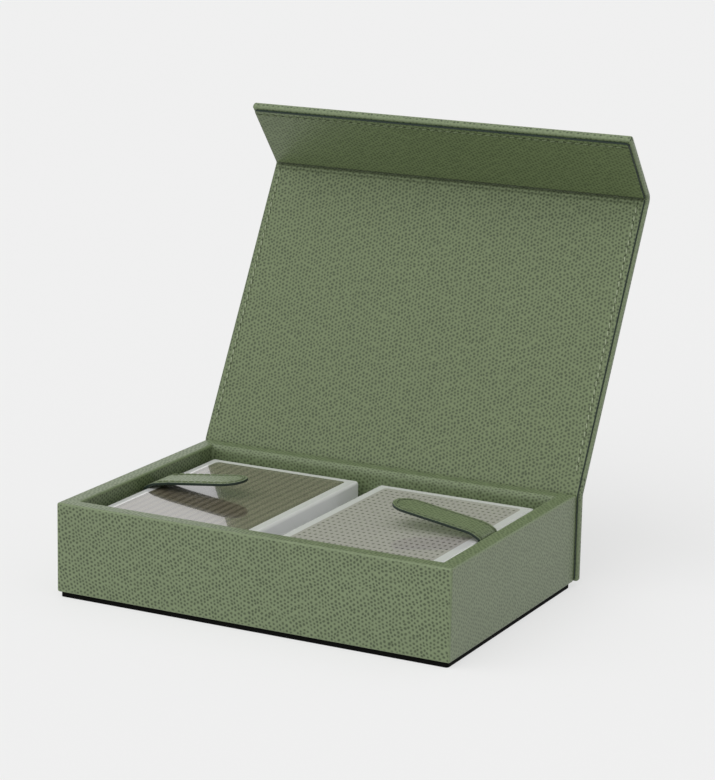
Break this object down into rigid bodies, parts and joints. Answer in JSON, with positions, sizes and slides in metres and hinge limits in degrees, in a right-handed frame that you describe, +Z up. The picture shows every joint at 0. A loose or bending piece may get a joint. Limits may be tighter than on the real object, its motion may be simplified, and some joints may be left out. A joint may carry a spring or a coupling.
{
  "type": "playing card holder",
  "caption": "Leather-covered box with a book-style hinged lid and fold-over front flap, holding boxed playing card decks on leather pull straps.",
  "frame": {"origin": "centre of the tray's footprint, on the underside of the base plate", "axes": "+X to the right along the front, +Y to the back towards the lid hinge, +Z up"},
  "size_m": [0.1618, 0.1674, 0.1657],
  "materials": {
    "tray_leather": "fine pebble grain, satin",
    "cover_leather": "fine pebble grain, satin",
    "lining_leather": "fine pebble grain, dark painted edge",
    "strap_leather": "fine pebble grain, dark painted edge",
    "wall_board": "raw fibreboard",
    "cover_board": "raw greyboard",
    "base": "matt black",
    "magnet": "nickel plated",
    "olive_carton": "printed, in clear glossy film",
    "grey_carton": "printed, in clear glossy film",
    "cards": "smooth"
  },
  "bodies": {
    "tray": {"base_plate": "base", "bottom_board": "wall_board", "floor_riser": "wall_board", "floor_lining": "lining_leather", "front_board": "wall_board", "back_board": "wall_board", "left_board": "wall_board", "right_board": "wall_board", "front_leather": "tray_leather", "back_leather": "tray_leather", "left_leather": "tray_leather", "right_leather": "tray_leather", "wall_magnets": "magnet", "spine_board": "cover_board", "spine_leather": "cover_leather", "spine_lining": "lining_leather", "hinge_leather": "cover_leather", "hinge_lining": "lining_leather"},
    "lid": {"lid_board": "cover_board", "lid_leather": "cover_leather", "lid_lining": "lining_leather", "crease_leather": "cover_leather"},
    "flap": {"flap_board": "cover_board", "flap_leather": "cover_leather", "flap_lining": "lining_leather", "flap_magnets": "magnet"},
    "left_deck": {"left_box": "olive_carton", "left_cards": "cards", "left_strap": "strap_leather", "left_strap_bend": "strap_leather"},
    "right_deck": {"right_box": "grey_carton", "right_cards": "cards", "right_strap": "strap_leather", "right_strap_bend": "strap_leather"},
    "left_pull": {"left_tab": "strap_leather", "left_tab_backing": "strap_leather"},
    "right_pull": {"right_tab": "strap_leather", "right_tab_backing": "strap_leather"}
  },
  "joints": [
    {"name": "lid_hinge", "type": "hinge", "parent": "tray", "child": "lid", "pos_m": [0, 0.05841, 0.03864], "axis": [-1, 0, 0], "range_deg": [-118.3, 61.7], "deforming": ["hinge_leather", "hinge_lining", "left_tab", "left_tab_backing", "right_tab", "right_tab_backing"]},
    {"name": "flap_hinge", "type": "hinge", "parent": "lid", "child": "flap", "pos_m": [0, 0.1097, 0.13926], "axis": [-1, 0, 0], "range_deg": [-22, 68], "deforming": ["crease_leather"]},
    {"name": "left_deck_lift", "type": "slide", "parent": "tray", "child": "left_deck", "axis": [0, 0, 1], "range_m": [0, 0.04]},
    {"name": "left_tab_lift", "type": "hinge", "parent": "left_deck", "child": "left_pull", "pos_m": [-0.06933, -0.001, 0.03379], "axis": [0, -1, 0], "range_deg": [-6, 80], "stiffness_Nm_per_rad": 0.01, "deforming": ["left_strap_bend"]},
    {"name": "right_deck_lift", "type": "slide", "parent": "tray", "child": "right_deck", "axis": [0, 0, 1], "range_m": [0, 0.04]},
    {"name": "right_tab_lift", "type": "hinge", "parent": "right_deck", "child": "right_pull", "pos_m": [0.06773, -0.001, 0.03379], "axis": [0, 1, 0], "range_deg": [-6, 80], "stiffness_Nm_per_rad": 0.01, "deforming": ["right_strap_bend"]}
  ]
}
